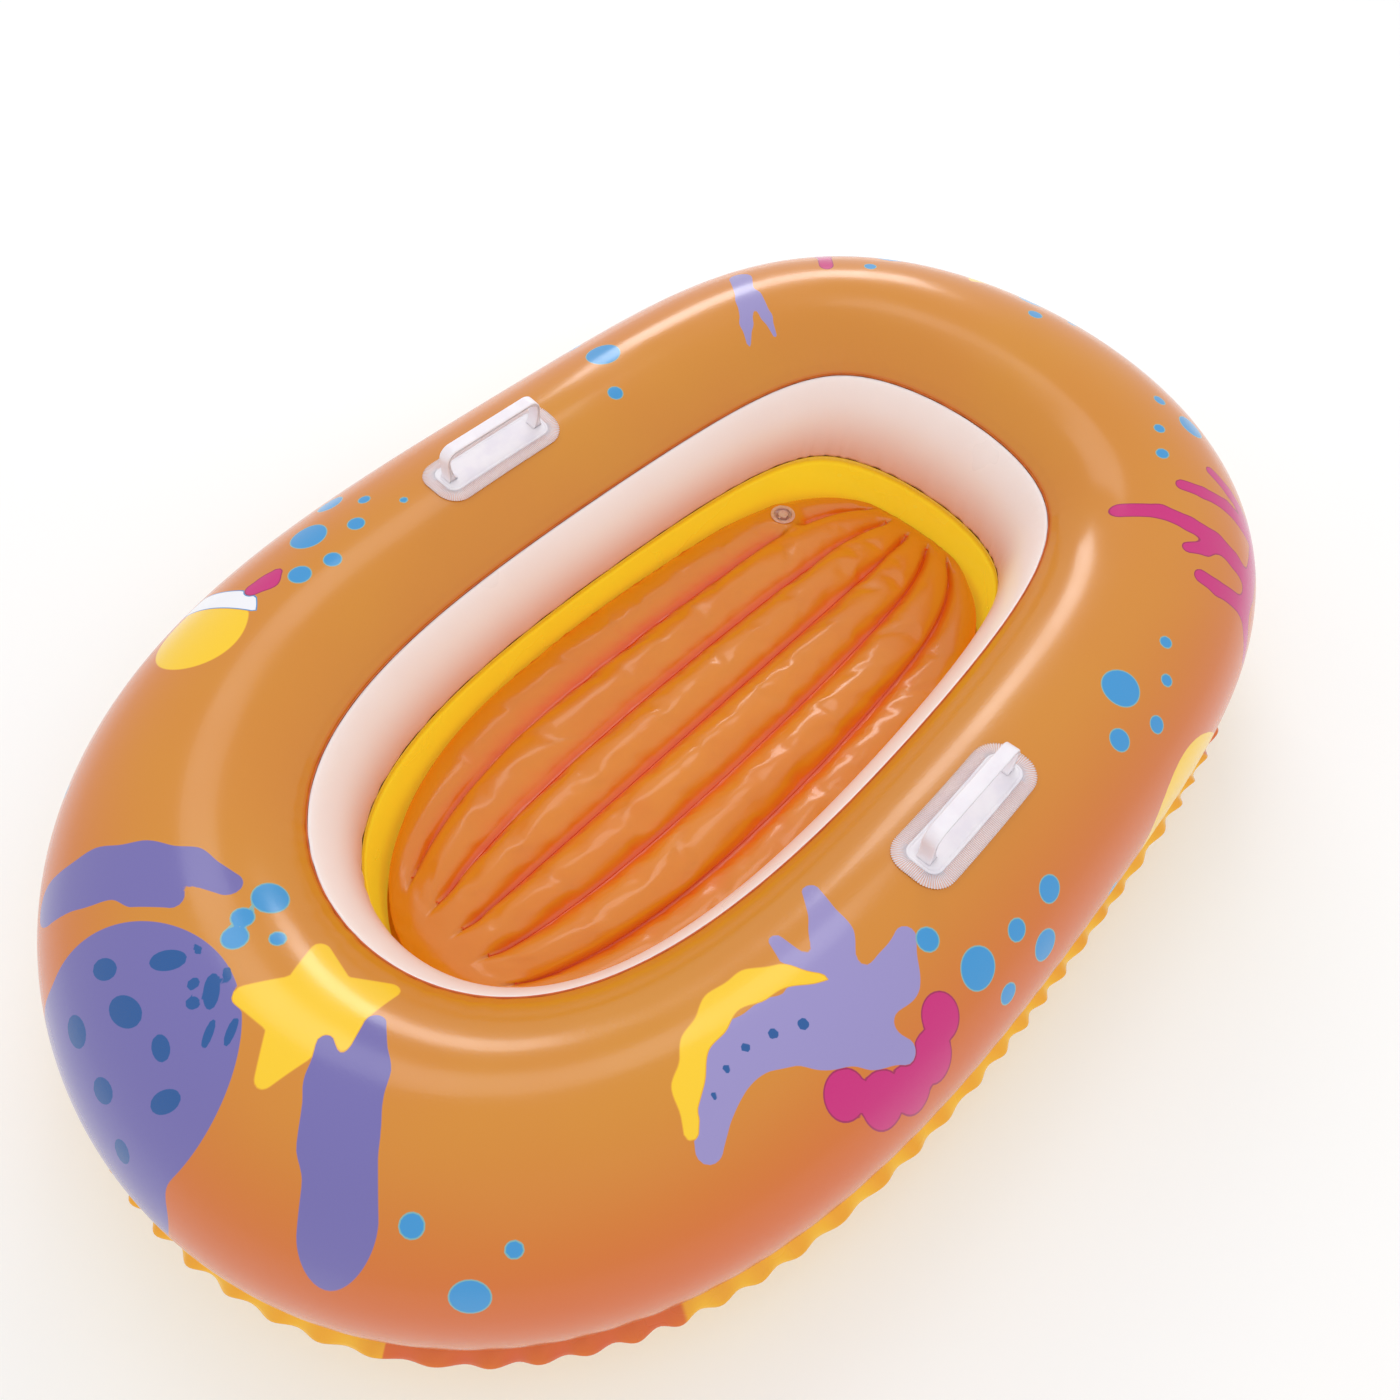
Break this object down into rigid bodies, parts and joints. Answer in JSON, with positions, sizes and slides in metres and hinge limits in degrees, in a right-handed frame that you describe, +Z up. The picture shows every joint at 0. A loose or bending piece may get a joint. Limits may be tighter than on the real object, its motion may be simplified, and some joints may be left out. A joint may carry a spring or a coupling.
{
  "type": "inflatable boat",
  "caption": "Child's inflatable boat: an oval air tube round a cockpit with a chambered air mattress on its floor, moulded grab handles and push-in valves.",
  "frame": {"origin": "on the ground under the middle of the boat's outline", "axes": "+X towards the bow, +Y to port, +Z up"},
  "size_m": [1.2094, 0.8008, 0.2546],
  "materials": {
    "printed_vinyl": "glossy, slightly translucent soft vinyl sheet with a printed pattern",
    "white_vinyl": "satin white soft vinyl sheet",
    "yellow_vinyl": "glossy yellow soft vinyl sheet",
    "mattress_vinyl": "glossy, translucent orange soft vinyl sheet",
    "handle_vinyl": "milky soft vinyl, ribbed weld border",
    "grip_moulding": "milky soft vinyl moulding",
    "valve_vinyl": "clear, slightly pink soft vinyl moulding"
  },
  "bodies": {
    "root": {"hull_top_sheet": "printed_vinyl", "hull_inner_wall": "white_vinyl", "hull_bottom_sheet": "yellow_vinyl", "floor_mattress": "mattress_vinyl", "handle_patch_left": "handle_vinyl", "handle_patch_right": "handle_vinyl", "handle_grip_left": "grip_moulding", "handle_grip_right": "grip_moulding", "floor_valve_flange": "valve_vinyl", "floor_valve_web": "valve_vinyl", "hull_valve_flange": "valve_vinyl", "hull_valve_web": "valve_vinyl"},
    "floor_neck": {"floor_valve_neck": "valve_vinyl", "floor_valve_tether": "valve_vinyl"},
    "floor_stopper": {"floor_valve_stopper": "valve_vinyl"},
    "floor_flap": {"floor_valve_flap": "valve_vinyl"},
    "hull_neck": {"hull_valve_neck": "valve_vinyl", "hull_valve_tether": "valve_vinyl"},
    "hull_stopper": {"hull_valve_stopper": "valve_vinyl"},
    "hull_flap": {"hull_valve_flap": "valve_vinyl"}
  },
  "joints": [
    {"name": "floor_valve_pull", "type": "slide", "parent": "root", "child": "floor_neck", "axis": [0, 0, 1], "range_m": [0, 0.012]},
    {"name": "floor_stopper_open", "type": "hinge", "parent": "floor_neck", "child": "floor_stopper", "pos_m": [-0.24554, -0.11726, 0.0462], "axis": [0, 1, 0], "range_deg": [0, 110]},
    {"name": "floor_flap_open", "type": "hinge", "parent": "floor_neck", "child": "floor_flap", "pos_m": [-0.24894, -0.11726, 0.0337], "axis": [0, -1, 0], "range_deg": [0, 50]},
    {"name": "hull_valve_pull", "type": "slide", "parent": "root", "child": "hull_neck", "axis": [-0.0791, -0.9914, 0.1045], "range_m": [0, 0.012]},
    {"name": "hull_stopper_open", "type": "hinge", "parent": "hull_neck", "child": "hull_stopper", "pos_m": [-0.23211, -0.38194, 0.12443], "axis": [-0.0363, -0.1019, -0.9941], "range_deg": [0, 110]},
    {"name": "hull_flap_open", "type": "hinge", "parent": "hull_neck", "child": "hull_flap", "pos_m": [-0.22726, -0.36388, 0.1224], "axis": [0.0363, 0.1019, 0.9941], "range_deg": [0, 50]}
  ]
}
